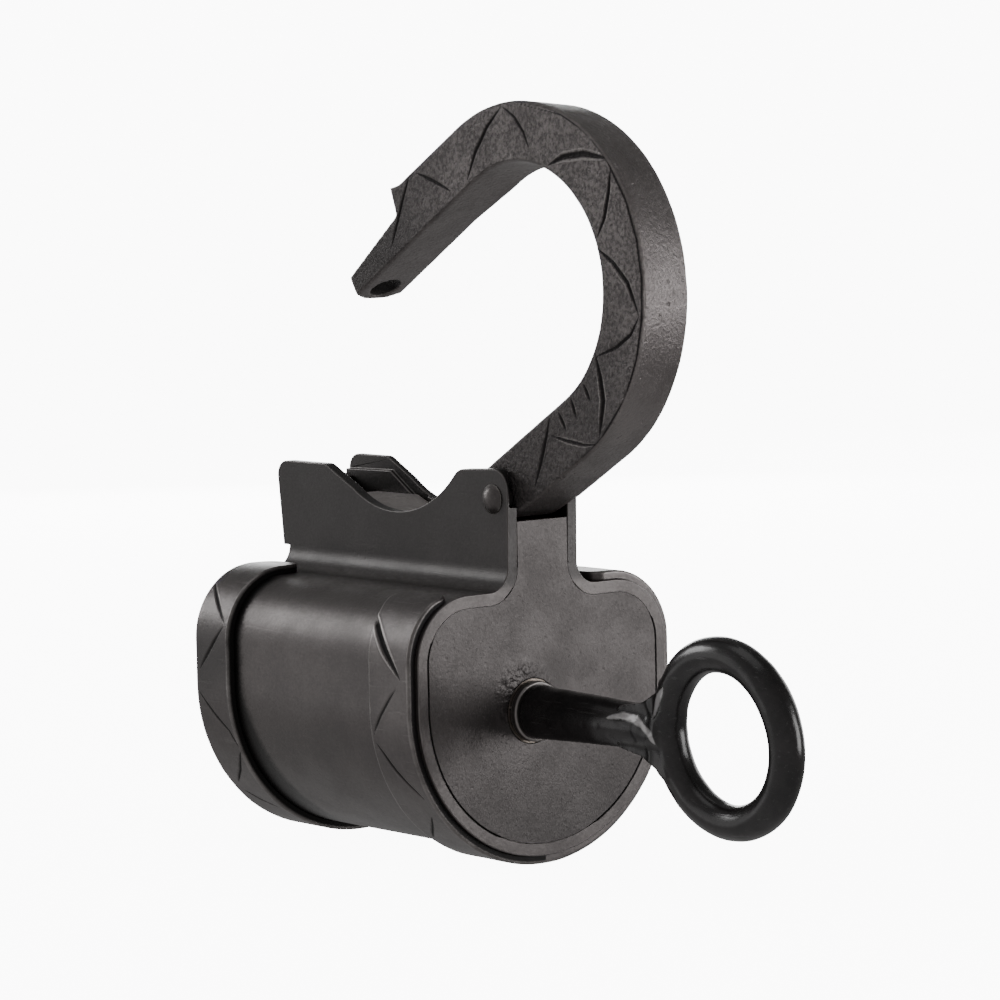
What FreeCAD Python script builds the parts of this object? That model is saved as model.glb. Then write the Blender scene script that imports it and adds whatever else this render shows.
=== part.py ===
import FreeCAD, Part
import math
import os

# Forged barrel padlock with a screw key. Millimetres, +Z up.
# +X runs along the barrel to the key end. The origin is on the barrel's axis at its rear face.
# The shackle is drawn closed and then swung open; the key is screwed in and the bolt is drawn back.

V = FreeCAD.Vector

# ---- case -----------------------------------------------------------------
BODY_LEN = 69.7         # rear face to front face
SHELL_R = 31.0          # outside radius of the round bottom
SHELL_TOP = 21.0        # height of the flat top above the barrel's axis
SHEET_T = 2.4           # sheet that is folded into barrel and cheeks
SHOULDER_R = 12.5       # outside radius from side to flat top
ROOT_R = 4.5            # outside radius from flat top to cheek
REAR_T = 2.2            # rear end plate
FRONT_T = 2.5           # front end plate
REAR_BAND_W = 11.0      # strap round the rear end of the barrel
FRONT_BAND_W = 12.4     # strap round the key end
BAND_T = 1.9
BAND_INSET = 0.9        # front strap's edge to barrel edge
SHORT_END = 8.5         # the front strap's near end stops this far in on the shoulder
SEAM = 0.1              # hammered seam between two plates of the case

# ---- hinge, cheeks and saddle ----------------------------------------------
PIN_Z = 38.4            # hinge pin above the barrel's axis
PIN_BACK = 4.2          # hinge pin behind the front face
PIN_R = 2.5
PIN_HEAD_H = 1.6
CHEEK_REAR_UP = 4.25    # top of the near cheek beside the tongue, above the pin
CHEEK_PIN_UP = 6.0      # top of the cheeks beside the pin, above the pin
FAR_CHEEK_RISE = 0.55   # the far cheek is this much higher beside the tongue
NEAR_LIP = 3.8          # near cheek stands this far behind the rear face
RAMP_X = 12.6           # the cheeks start to fall towards the hollow here
DIP_R = 25.5            # hollow between them, for the staple
DIP_DOWN = 4.05         # lowest point of the hollow, below the pin
SADDLE_SINK = 0.9       # saddle plate lies this far below the cheeks
SADDLE_T = 5.0          # its thickness beside the tongue

# ---- shackle --------------------------------------------------------------
OPEN_DEG = 59.0         # swing from closed to the stop
SHACKLE_T = 11.8        # thickness of the bar across the cheeks
ARM_W = 11.6            # width of the tongue arm seen from the side
HEEL_W = 12.2           # width of the heel arm seen from the side
ARM_STAND = 1.75        # the tongue arm stands this far behind the rear face
HEEL_STAND = 4.65       # outer side of the heel arm, in front of the pin
BOW_UP = 25.2           # where the bow starts, above the pin
BOW_LEAN = 1.0          # the bow was hammered this much lower on its far side
SHOULDER_LIP = 0.95     # the shoulder's outer corner stands proud of the arm
HEEL_R = 4.0            # outer side of the heel, from the pin
TAIL_R = 9.0            # stop corner of the heel, from the pin
TONGUE_STEP = 0.7       # outer face of the tongue to the rear plate, at the shoulder
TIP_DOWN = 4.5          # end of the tongue below the bolt's axis, when closed

# ---- bolt work ------------------------------------------------------------
BOLT_Z = 21.9
BOLT_R = 2.8
BOLT_THROW = 8.4
KEY_Y = -3.14
KEY_Z = -2.54
THREAD_R = 4.0
THREAD_PITCH = 2.1
CARRIAGE_X = 30.0
CARRIAGE_T = 4.0
NUT_LEN = 12.0
NUT_WALL = 2.5          # over the flats
ROD_R = 2.0
ROD_Y = 18.5
ROD_Z = 3.0
SPRING_WIRE_R = 0.8
SPRING_TURNS = 8
BUSH_GAP = 6.2          # bush to nut, with the bolt drawn back
SEAT_T = 2.0

# ---- key ------------------------------------------------------------------
KEY_SHOULDER = 1.2      # the shank at the washer is this much over the thread
KEY_NECK_R = 4.35       # shank at the ring
WASHER_T = 1.7
KEY_SHANK_LEN = 39.3    # front face to the ring
KEY_RING_R = 15.6
KEY_RING_WIRE_R = 3.45
KEY_RING_TILT = 4.0

# ---- clearances -----------------------------------------------------------
RUN = 0.06              # running fit, on the radius
SNUG = 0.03             # riveted or pressed fit, on the radius
SIDE_GAP = 0.3          # moving part to fixed part
CHEEK_GAP = 0.4         # shackle to cheek, each side
FACE_GAP = 0.1          # faces that come to rest on each other
TONGUE_GAP = 0.65       # tongue to the edge of the saddle plate

# ---- sizes that follow from the ones above ---------------------------------
HALF_IN = SHACKLE_T / 2.0 + CHEEK_GAP    # channel between the cheeks
HALF_OUT = HALF_IN + SHEET_T
PIN_X = BODY_LEN - PIN_BACK
PIN_HEAD_R = PIN_R + 0.45
CHEEK_REAR_Z = PIN_Z + CHEEK_REAR_UP
CHEEK_PIN_Z = PIN_Z + CHEEK_PIN_UP
DIP_X = BODY_LEN / 2.0 + 0.35
DIP_Z = PIN_Z - DIP_DOWN
SADDLE_FLOOR_Z = PIN_Z - 2.4
SADDLE_UNDER_Z = SADDLE_FLOOR_Z - SADDLE_T
ARM_OUT = -ARM_STAND
ARM_IN = ARM_OUT + ARM_W                 # inner face of the tongue arm
HEEL_OUT = PIN_X + HEEL_STAND
HEEL_IN = HEEL_OUT - HEEL_W              # inner face of the heel arm
BOW_X = (ARM_OUT + HEEL_OUT) / 2.0
BOW_R_OUT = (HEEL_OUT - ARM_OUT) / 2.0
BOW_Z = PIN_Z + BOW_UP
TIP_Z = BOLT_Z - TIP_DOWN
SLOT_END = ARM_IN + TONGUE_GAP           # saddle plate starts here
NECK_TOP = PIN_Z - HEEL_R - SIDE_GAP     # front plate's neck stays under the heel
BOLT_HOLE_R = BOLT_R + SIDE_GAP
BOLT_TIP = SLOT_END + 0.4
CARRIAGE_END = CARRIAGE_X + CARRIAGE_T
NUT_FLATS = 2.0 * (THREAD_R + NUT_WALL)
NUT_END = CARRIAGE_END + NUT_LEN
KEY_TIP = NUT_END - BOLT_THROW + FACE_GAP
KEY_ROOT_R = THREAD_R + KEY_SHOULDER
WASHER_R = KEY_ROOT_R + 0.65
WASHER_X = BODY_LEN + FACE_GAP
KEY_ROOT_X = WASHER_X + WASHER_T + FACE_GAP
KEY_RING_X = BODY_LEN + KEY_SHANK_LEN + KEY_RING_R
BUSH_BORE = THREAD_R + 0.3 + RUN
BUSH_R = BUSH_BORE + 1.85
BUSH_X = NUT_END + BUSH_GAP
SPRING_R = NUT_FLATS / math.sqrt(3.0) + SPRING_WIRE_R + 2.3
FRONT_BACK = BODY_LEN - FRONT_T          # inner face of the front plate
SEAT_X = FRONT_BACK - SEAT_T


def prism_y(points, y0, y1):
    """Solid from an outline in the XZ plane, from y0 to y1."""
    wire = Part.makePolygon([V(x, y0, z) for x, z in points + points[:1]])
    return Part.Face(wire).extrude(V(0, y1 - y0, 0))


def rod_y(x, z, r, y0, y1):
    return Part.makeCylinder(r, y1 - y0, V(x, y0, z), V(0, 1, 0))


def rod_x(y, z, r, x0, x1):
    return Part.makeCylinder(r, x1 - x0, V(x0, y, z), V(1, 0, 0))


def box(x0, x1, y0, y1, z0, z1):
    return Part.makeBox(x1 - x0, y1 - y0, z1 - z0, V(x0, y0, z0))


def round_y_edges(solid, corners, r, reach=0.05):
    """Round the edges that run along Y at the given (x, z) corners."""
    picked = []
    for e in solid.Edges:
        a, b = e.Vertexes[0].Point, e.Vertexes[-1].Point
        if abs(a.x - b.x) > 1e-4 or abs(a.z - b.z) > 1e-4:
            continue
        if any(math.hypot(a.x - x, a.z - z) < reach for x, z in corners):
            picked.append(e)
    return solid.makeFillet(r, picked)


def about_pin(x, z, deg):
    """Where a point of the closed shackle goes when it is swung open by deg."""
    t = math.radians(deg)
    dx, dz = x - PIN_X, z - PIN_Z
    return (PIN_X + dx * math.cos(t) + dz * math.sin(t),
            PIN_Z - dx * math.sin(t) + dz * math.cos(t))


def side_edges(r, top, shoulder, root, half, neck_top, s):
    """Half of the barrel's section, from neck top down to the bottom, on side s."""
    def p(y, z):
        return V(0, s * y, z)

    def arc(cy, cz, rad, a0, a1):
        q = [math.radians(a) for a in (a0, (a0 + a1) / 2.0, a1)]
        return Part.Arc(*[p(cy + rad * math.cos(a), cz + rad * math.sin(a)) for a in q]).toShape()

    edges = []
    inner = half + root if root else 0.0
    if root:
        edges.append(Part.LineSegment(p(half, neck_top), p(half, top + root)).toShape())
        edges.append(arc(half + root, top + root, root, 180, 270))
    edges.append(Part.LineSegment(p(inner, top), p(r - shoulder, top)).toShape())
    edges.append(arc(r - shoulder, top - shoulder, shoulder, 90, 0))
    edges.append(Part.LineSegment(p(r, top - shoulder), p(r, 0)).toShape())
    edges.append(arc(0, 0, r, 0, -90))
    return edges


def barrel_section(x0, x1, inset, root=None, neck_top=0.0):
    """Barrel-shaped solid, inset from the outside of the shell. A root gives it a neck."""
    half = HALF_OUT - inset
    rr = ROOT_R + inset if root else None
    args = (SHELL_R - inset, SHELL_TOP - inset, SHOULDER_R - inset, rr, half, neck_top)
    edges = side_edges(*args, 1) + side_edges(*args, -1)
    if root:
        edges.append(Part.LineSegment(V(0, -half, neck_top), V(0, half, neck_top)).toShape())
    wire = Part.Wire(Part.__sortEdges__(edges))
    solid = Part.Face(wire).extrude(V(x1 - x0, 0, 0))
    solid.translate(V(x0, 0, 0))
    return solid


def cheek(s):
    """One upstanding cheek. The near one (s = -1) stands proud of the rear face."""
    z0 = SHELL_TOP + ROOT_R
    top = CHEEK_REAR_Z if s < 0 else CHEEK_REAR_Z + FAR_CHEEK_RISE
    lip = NEAR_LIP if s < 0 else 0.2
    foot = lip / 2.0 if s < 0 else 0.0
    outline = [(-foot, z0), (-lip, top), (DIP_X, top),
               (BODY_LEN + 0.4, CHEEK_PIN_Z), (BODY_LEN, z0)]
    y0, y1 = sorted((s * HALF_IN, s * HALF_OUT))
    solid = prism_y(outline, y0, y1)
    dip_z = DIP_Z + DIP_R
    low = (DIP_X - 9.0, dip_z - math.sqrt(DIP_R ** 2 - 81.0))
    solid = solid.cut(prism_y([(RAMP_X, top), low, (DIP_X, low[1]), (DIP_X, top + 9), (RAMP_X, top + 9)],
                              y0 - 1, y1 + 1))
    solid = solid.cut(rod_y(DIP_X, dip_z, DIP_R, y0 - 1, y1 + 1))
    solid = round_y_edges(solid, [(-lip, top)], 3.0)
    solid = round_y_edges(solid, [(BODY_LEN + 0.4, CHEEK_PIN_Z)], 4.2)
    solid = round_y_edges(solid, [(RAMP_X, top)], 3.5, 0.3)
    shelf = DIP_X + math.sqrt(DIP_R ** 2 - (dip_z - CHEEK_REAR_Z) ** 2)
    return round_y_edges(solid, [(shelf, CHEEK_REAR_Z + 0.95)], 4.0, 1.2)


def barrel_shell():
    """Sheet folded into the barrel and the two cheeks."""
    neck = SHELL_TOP + ROOT_R + 0.2
    tube = barrel_section(0, BODY_LEN, 0.0, True, neck)
    shell = tube.fuse([cheek(-1), cheek(1)])
    hollow = barrel_section(-10, BODY_LEN + 10, SHEET_T, True, CHEEK_PIN_Z + 10)
    shell = shell.cut(hollow)
    shell = shell.cut(rod_y(PIN_X, PIN_Z, PIN_R + SNUG, -20, 20))
    # The far cheek is thinned above a ledge beside the tongue.
    z = CHEEK_REAR_Z - 2.6
    ledge = [(-5, z), (RAMP_X + 2.0, z + 0.3), (RAMP_X + 8.5, z - 3.9), (RAMP_X + 14, z - 7.0),
             (RAMP_X + 14, 60), (-5, 60)]
    shell = shell.cut(prism_y(ledge, HALF_IN - 1, HALF_IN + 0.9))
    # The near cheek is filed away inside, at its front end.
    wedge = [V(BODY_LEN + 1, -HALF_IN + 1, 0), V(BODY_LEN + 1, -HALF_OUT + 0.3, 0),
             V(BODY_LEN - 0.2, -HALF_OUT + 0.7, 0), V(BODY_LEN - 2.2, -HALF_IN, 0),
             V(BODY_LEN - 2.2, -HALF_IN + 1, 0)]
    wedge = Part.Face(Part.makePolygon(wedge + wedge[:1])).extrude(V(0, 0, 20))
    wedge.translate(V(0, 0, PIN_Z - 1.5))
    return shell.cut(wedge).removeSplitter()


def key_hole(r):
    return rod_x(KEY_Y, KEY_Z, r, FRONT_BACK - 5, BODY_LEN + 5)


def front_end_plate():
    """End plate with a neck that closes the channel up to the heel."""
    plate = barrel_section(FRONT_BACK, BODY_LEN, SHEET_T + SEAM, True, NECK_TOP)
    return plate.cut(key_hole(BUSH_R + SNUG))


def rear_end_plate():
    """End plate whose neck carries the shackle's shoulder."""
    plate = barrel_section(0, REAR_T, SHEET_T + SEAM, True, PIN_Z + 5)
    x0, z0, x1, z1 = shoulder_line()
    g = SIDE_GAP
    above = [(x0 - 2, z0 - g), (x0, z0 - g), (x1, z1 - g), (x1 + 9, z1 - g), (x1 + 9, 60), (x0 - 2, 60)]
    return plate.cut(prism_y(above, -20, 20))


def band(x0, x1, near_end, far_end):
    """Strap over a barrel end, from one side of the cheeks round to the other."""
    outer = barrel_section(x0, x1, -BAND_T)
    strap = outer.cut(barrel_section(x0 - 1, x1 + 1, -SEAM))
    strap = strap.cut(box(x0 - 1, x1 + 1, -near_end, far_end, 0, 60))
    corners = []
    for e in strap.Edges:
        a, b = e.Vertexes[0].Point, e.Vertexes[-1].Point
        at_end = min(abs(a.y + near_end), abs(a.y - far_end)) < 1e-3
        if at_end and a.z > 0 and abs(a.x - b.x) < 1e-4 and abs(a.y - b.y) < 1e-4:
            corners.append(e)
    return strap.makeFillet(3.2, corners)


def front_band():
    x1 = BODY_LEN - BAND_INSET
    return band(x1 - FRONT_BAND_W, x1, SHELL_R - SHORT_END, HALF_OUT + ROOT_R + 0.3)


def rear_band():
    end = HALF_OUT + ROOT_R + 0.3
    return band(0.0, REAR_BAND_W, end, end)


def tail_points():
    """Stop corner and inner shoulder of the heel, shackle closed."""
    a = math.radians(242.3)
    return (PIN_X + TAIL_R * math.cos(a), PIN_Z + TAIL_R * math.sin(a)), (HEEL_IN, PIN_Z - 1.9)


def saddle_plate():
    """Plate between the cheeks. Its end is the stop for the open shackle."""
    low, high = [about_pin(*p, OPEN_DEG) for p in tail_points()]
    run = math.hypot(high[0] - low[0], high[1] - low[1])
    ux, uz = (high[0] - low[0]) / run, (high[1] - low[1]) / run
    sx, sz = low[0] - uz * FACE_GAP, low[1] + ux * FACE_GAP
    under = sz + 0.1
    length = (HEEL_IN - 0.5 - sx) / ux
    tip = (sx + ux * length, sz + uz * length)
    foot = (sx + ux * (under - sz) / uz, under)
    y = HALF_IN - SEAM / 2
    outline = [(SLOT_END, SADDLE_UNDER_Z), (SLOT_END, SADDLE_FLOOR_Z), (DIP_X, SADDLE_FLOOR_Z),
               (DIP_X, tip[1] + 0.3), (tip[0] - 0.3, tip[1] + 0.3), tip, foot,
               (foot[0] - 0.3, under), (foot[0] - 0.3, SADDLE_UNDER_Z + 3), (50.0, SADDLE_UNDER_Z)]
    plate = prism_y(outline, -y, y)
    plate = plate.cut(rod_y(DIP_X, DIP_Z + DIP_R, DIP_R + SADDLE_SINK, -20, 20))
    sweep = rod_y(PIN_X, PIN_Z, TAIL_R + SIDE_GAP, -20, 20).common(box(40, 90, -20, 20, 0, under))
    return plate.cut(sweep)


def hinge_pin():
    """Rivet through cheeks and heel with a domed head each side."""
    pin = rod_y(PIN_X, PIN_Z, PIN_R, -HALF_OUT - 0.02, HALF_OUT + 0.02)
    ball = (PIN_HEAD_R ** 2 + PIN_HEAD_H ** 2) / (2 * PIN_HEAD_H)
    for s in (-1, 1):
        face = s * (HALF_OUT + 0.02)
        head = Part.makeSphere(ball, V(PIN_X, face + s * (PIN_HEAD_H - ball), PIN_Z))
        y0, y1 = sorted((face, face + s * 10))
        pin = pin.fuse(head.common(box(PIN_X - 9, PIN_X + 9, y0, y1, PIN_Z - 9, PIN_Z + 9)))
    return pin.removeSplitter()


def shoulder_line():
    """Underside of the shoulder beside the tongue, from outside to inside."""
    x1 = REAR_T + TONGUE_STEP
    return ARM_OUT - SHOULDER_LIP, PIN_Z + 1.7, x1, PIN_Z + 0.5


def shackle():
    """Flat-section bow, drawn closed: tongue on the left, heel and tail on the right."""
    def on_pin(r, deg):
        t = math.radians(deg)
        return (PIN_X + r * math.cos(t), PIN_Z + r * math.sin(t))

    half = SHACKLE_T / 2.0
    x0, z0, x1, z1 = shoulder_line()
    low, high = tail_points()
    heel_low = on_pin(HEEL_R, -70)
    # The tongue's outer corner just swings past the rear plate.
    reach = PIN_X - REAR_T - SIDE_GAP
    tip_z = TIP_Z + 1.2
    tip = (PIN_X - math.sqrt(reach ** 2 - (PIN_Z - tip_z) ** 2), tip_z)

    def outline(y, lean):
        def v(p):
            return V(p[0], y, p[1])

        def line(a, b):
            return Part.LineSegment(v(a), v(b)).toShape()

        def arc(a, b, c):
            return Part.Arc(v(a), v(b), v(c)).toShape()

        spring = BOW_Z - lean
        out_l, out_r = (ARM_OUT + 0.5 * lean, spring), (HEEL_OUT + 0.25 * lean, spring)
        in_l, in_r = (ARM_IN + 0.9 * lean, spring), (HEEL_IN, spring)
        crown_out = (BOW_X + 0.4 * lean, spring + BOW_R_OUT)
        crown_in = ((ARM_IN + HEEL_IN) / 2.0 + 0.4 * lean, spring + (HEEL_IN - ARM_IN) / 2.0)
        return Part.Wire([
            arc(out_l, crown_out, out_r),
            line(out_r, (HEEL_OUT, PIN_Z + 8)),
            line((HEEL_OUT, PIN_Z + 8), on_pin(HEEL_R, 0)),
            arc(on_pin(HEEL_R, 0), on_pin(HEEL_R, -35), heel_low),
            line(heel_low, (PIN_X + 0.9, low[1] + 0.3)),
            line((PIN_X + 0.9, low[1] + 0.3), low),
            line(low, high),
            line(high, in_r),
            arc(in_r, crown_in, in_l),
            line(in_l, (ARM_IN, PIN_Z + 9)),
            line((ARM_IN, PIN_Z + 9), (ARM_IN, TIP_Z)),
            line((ARM_IN, TIP_Z), tip),
            line(tip, (x1, z1)),
            line((x1, z1), (x0, z0)),
            line((x0, z0), (ARM_OUT - 0.2, z0 + 2.2)),
            line((ARM_OUT - 0.2, z0 + 2.2), out_l)])

    bar = Part.makeLoft([outline(-half, 0.0), outline(half, BOW_LEAN)], True, True)

    # Long edges of the bar are worn round.
    worn = []
    for e in bar.Edges:
        p = e.valueAt((e.FirstParameter + e.LastParameter) / 2.0)
        if abs(abs(p.y) - half) < 1e-3 and p.z > PIN_Z + 4 and e.Length > 12:
            worn.append(e)
    bar = bar.makeFillet(0.7, worn)

    # Tongue: rounded end, bolt hole.
    sag = 2.1
    end_r = (half ** 2 + sag ** 2) / (2 * sag)
    below = box(-20, 20, -20, 20, TIP_Z - 5, TIP_Z + 3.5)
    round_end = below.cut(rod_x(0, TIP_Z + end_r, end_r, -21, 21))
    bar = bar.cut(round_end)
    bar = bar.cut(rod_x(0, BOLT_Z, BOLT_HOLE_R, -20, 20))
    bar = bar.cut(rod_y(PIN_X, PIN_Z, PIN_R + RUN, -20, 20))
    bar.rotate(V(PIN_X, 0, PIN_Z), V(0, 1, 0), OPEN_DEG)
    return bar


def bolt_guide():
    """Block brazed in the channel that carries the bolt beside the tongue."""
    y = HALF_IN - SEAM / 2
    block = box(SLOT_END + 1.6, SLOT_END + 7.6, -y, y, BOLT_Z - 6.0, SADDLE_UNDER_Z - 0.05)
    return block.cut(rod_x(0, BOLT_Z, BOLT_R + RUN, 0, 40))


def guide_rods():
    """Two plain rods between the end plates that keep the carriage from turning."""
    a = rod_x(-ROD_Y, ROD_Z, ROD_R, REAR_T + 0.02, FRONT_BACK - 0.02)
    b = rod_x(ROD_Y, ROD_Z, ROD_R, REAR_T + 0.02, FRONT_BACK - 0.02)
    return Part.makeCompound([a, b])


def key_bush():
    """Tube through the front plate that the key runs in."""
    tube = rod_x(KEY_Y, KEY_Z, BUSH_R, BUSH_X, BODY_LEN)
    return tube.cut(rod_x(KEY_Y, KEY_Z, BUSH_BORE, BUSH_X - 1, BODY_LEN + 1))


def spring_seat():
    """Collar behind the front plate that the spring pushes on."""
    r = SPRING_R + SPRING_WIRE_R + 1.2
    seat = rod_x(KEY_Y, KEY_Z, r, SEAT_X, FRONT_BACK - 0.02)
    return seat.cut(rod_x(KEY_Y, KEY_Z, BUSH_R + SNUG, SEAT_X - 1, FRONT_BACK + 1))


def bolt_carriage():
    """Plate that joins the nut on the key's axis to the bolt in the channel."""
    x0, x1 = CARRIAGE_X, CARRIAGE_END
    r = SPRING_R + SPRING_WIRE_R + 1.2
    plate = rod_x(KEY_Y, KEY_Z, r, x0, x1)
    plate = plate.fuse([box(x0, x1, -ROD_Y, ROD_Y, ROD_Z - 4.5, ROD_Z + 4.5),
                        rod_x(-ROD_Y, ROD_Z, 4.5, x0, x1), rod_x(ROD_Y, ROD_Z, 4.5, x0, x1),
                        box(x0, x1, -HALF_IN + 0.8, HALF_IN - 0.8, KEY_Z, BOLT_Z + 4.0)])
    plate = plate.removeSplitter()
    for y in (-ROD_Y, ROD_Y):
        plate = plate.cut(rod_x(y, ROD_Z, ROD_R + RUN, x0 - 1, x1 + 1))
    plate = plate.cut(rod_x(KEY_Y, KEY_Z, NUT_FLATS / 2 - 1.0 + SNUG, x0 - 1, x1 + 1))
    return plate.cut(rod_x(0, BOLT_Z, BOLT_R - 0.8 + SNUG, x0 - 1, x1 + 1))


def bolt_nut():
    """Six-sided nut set in the carriage, bored for the key's thread."""
    r = NUT_FLATS / math.sqrt(3.0)
    pts = [V(0, KEY_Y + r * math.cos(math.radians(a)), KEY_Z + r * math.sin(math.radians(a)))
           for a in range(0, 361, 60)]
    nut = Part.Face(Part.makePolygon(pts)).extrude(V(NUT_LEN - 0.02, 0, 0))
    nut.translate(V(CARRIAGE_END + 0.02, 0, 0))
    nut = nut.fuse(rod_x(KEY_Y, KEY_Z, NUT_FLATS / 2 - 1.0, CARRIAGE_X, CARRIAGE_END + 0.02))
    nut = nut.cut(rod_x(KEY_Y, KEY_Z, THREAD_R + RUN, 0, 80))
    return nut.removeSplitter()


def locking_bolt():
    """Round bolt with a slimmer tail that is riveted over behind the carriage."""
    body = rod_x(0, BOLT_Z, BOLT_R, BOLT_TIP + 0.6, CARRIAGE_X - 0.02)
    nose = Part.makeCone(BOLT_R - 0.6, BOLT_R, 0.6, V(BOLT_TIP, 0, BOLT_Z), V(1, 0, 0))
    tail = rod_x(0, BOLT_Z, BOLT_R - 0.8, CARRIAGE_X - 0.02, CARRIAGE_END + 1.6)
    head = Part.makeCone(BOLT_R + 0.1, BOLT_R - 1.0, 1.1, V(CARRIAGE_END + 1.6, 0, BOLT_Z), V(1, 0, 0))
    return body.fuse([nose, tail, head]).removeSplitter()


def bolt_washer():
    """Washer under the bolt's riveted tail."""
    w = rod_x(0, BOLT_Z, BOLT_R + 1.4, CARRIAGE_END + 0.02, CARRIAGE_END + 1.58)
    return w.cut(rod_x(0, BOLT_Z, BOLT_R - 0.8 + SNUG, CARRIAGE_END - 1, CARRIAGE_END + 3))


def return_spring():
    """Coil round the nut and bush, squeezed while the bolt is drawn back."""
    x0 = CARRIAGE_END + SPRING_WIRE_R + 0.05
    x1 = SEAT_X - SPRING_WIRE_R - 0.05
    pitch = (x1 - x0) / SPRING_TURNS
    wire = []
    for i in range(2 * SPRING_TURNS):
        half_turn = Part.makeHelix(pitch, pitch / 2.0, SPRING_R).Edges[0]
        half_turn.rotate(V(0, 0, 0), V(0, 0, 1), 180.0 * i)
        half_turn.translate(V(0, 0, pitch / 2.0 * i))
        wire.append(half_turn)
    ring = Part.Wire([Part.makeCircle(SPRING_WIRE_R, V(SPRING_R, 0, 0), V(0, 1, 0))])
    coil = Part.Wire(wire).makePipeShell([ring], True, True)
    coil = Part.makeSolid(coil) if coil.ShapeType != "Solid" else coil
    coil.rotate(V(0, 0, 0), V(0, 1, 0), 90)
    coil.translate(V(x0, KEY_Y, KEY_Z))
    return coil


def key_shank():
    """Threaded tip, plain journal and tapered shank that ends on the ring."""
    thread_end = BUSH_X - 1.0
    n = int((thread_end - KEY_TIP - 1.0) / THREAD_PITCH)
    pts = [(KEY_TIP, 0), (KEY_TIP, THREAD_R - 1.0)]
    x = KEY_TIP + 0.8
    for _ in range(n):
        pts += [(x, THREAD_R - 0.8), (x + 0.75, THREAD_R), (x + 1.05, THREAD_R), (x + 1.8, THREAD_R - 0.8)]
        x += THREAD_PITCH
    journal = BUSH_BORE - RUN
    weld = KEY_RING_X - KEY_RING_R
    pts += [(thread_end, THREAD_R - 0.8), (thread_end + 0.6, journal), (KEY_ROOT_X, journal),
            (KEY_ROOT_X, KEY_ROOT_R - 0.4), (KEY_ROOT_X + 0.4, KEY_ROOT_R),
            (KEY_ROOT_X + 10, KEY_ROOT_R - 0.35), (weld - 8, KEY_NECK_R), (weld, KEY_NECK_R), (weld, 0)]
    wire = Part.makePolygon([V(a, b, 0) for a, b in pts + pts[:1]])
    shank = Part.Face(wire).revolve(V(0, 0, 0), V(1, 0, 0), 360)
    # The end is spread like a fish tail and hugs the ring.
    t = KEY_RING_WIRE_R - 0.35
    spread = [(weld - 11, KEY_NECK_R - 0.3), (weld - 5, KEY_NECK_R + 0.8), (weld - 1, KEY_NECK_R + 3.0),
              (weld + 2.2, KEY_NECK_R + 5.4)]
    tail = prism_y(spread + [(a, -b) for a, b in spread[::-1]], -t, t)
    shank = shank.fuse(tail)
    shank.translate(V(0, KEY_Y, KEY_Z))
    tube = Part.makeTorus(KEY_RING_R, KEY_RING_WIRE_R + 0.02, V(KEY_RING_X, KEY_Y, KEY_Z), V(0, 1, 0))
    inside = rod_y(KEY_RING_X, KEY_Z, KEY_RING_R, KEY_Y - 9, KEY_Y + 9)
    tube.rotate(V(KEY_RING_X, KEY_Y, KEY_Z), V(1, 0, 0), KEY_RING_TILT)
    shank = shank.cut(inside).cut(tube)
    return max(shank.Solids, key=lambda s: s.Volume)


def key_washer():
    """Loose washer that the key's shoulder turns on."""
    w = rod_x(KEY_Y, KEY_Z, WASHER_R, WASHER_X, WASHER_X + WASHER_T)
    return w.cut(rod_x(KEY_Y, KEY_Z, BUSH_BORE, 0, 100))


def key_ring():
    """Finger ring welded to the end of the shank."""
    ring = Part.makeTorus(KEY_RING_R, KEY_RING_WIRE_R, V(KEY_RING_X, KEY_Y, KEY_Z), V(0, 1, 0))
    ring.rotate(V(KEY_RING_X, KEY_Y, KEY_Z), V(1, 0, 0), KEY_RING_TILT)
    return ring


PIECES = [barrel_shell, front_end_plate, rear_end_plate, front_band, rear_band, saddle_plate,
          hinge_pin, bolt_guide, guide_rods, key_bush, spring_seat, bolt_carriage, bolt_nut,
          locking_bolt, bolt_washer, return_spring, shackle, key_shank, key_washer, key_ring]

os.makedirs("parts", exist_ok=True)
for make in PIECES:
    shape = make()
    name = make.__name__
    shape.exportStep("parts/%s.step" % name)
    b = shape.BoundBox
    print("%-16s solids %d valid %s vol %9.1f  X %.1f..%.1f Y %.1f..%.1f Z %.1f..%.1f" % (
        name, len(shape.Solids), shape.isValid(), shape.Volume,
        b.XMin, b.XMax, b.YMin, b.YMax, b.ZMin, b.ZMax))
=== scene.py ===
import math

import bmesh
import bpy
import numpy as np
from mathutils import Matrix, Vector, noise


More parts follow.
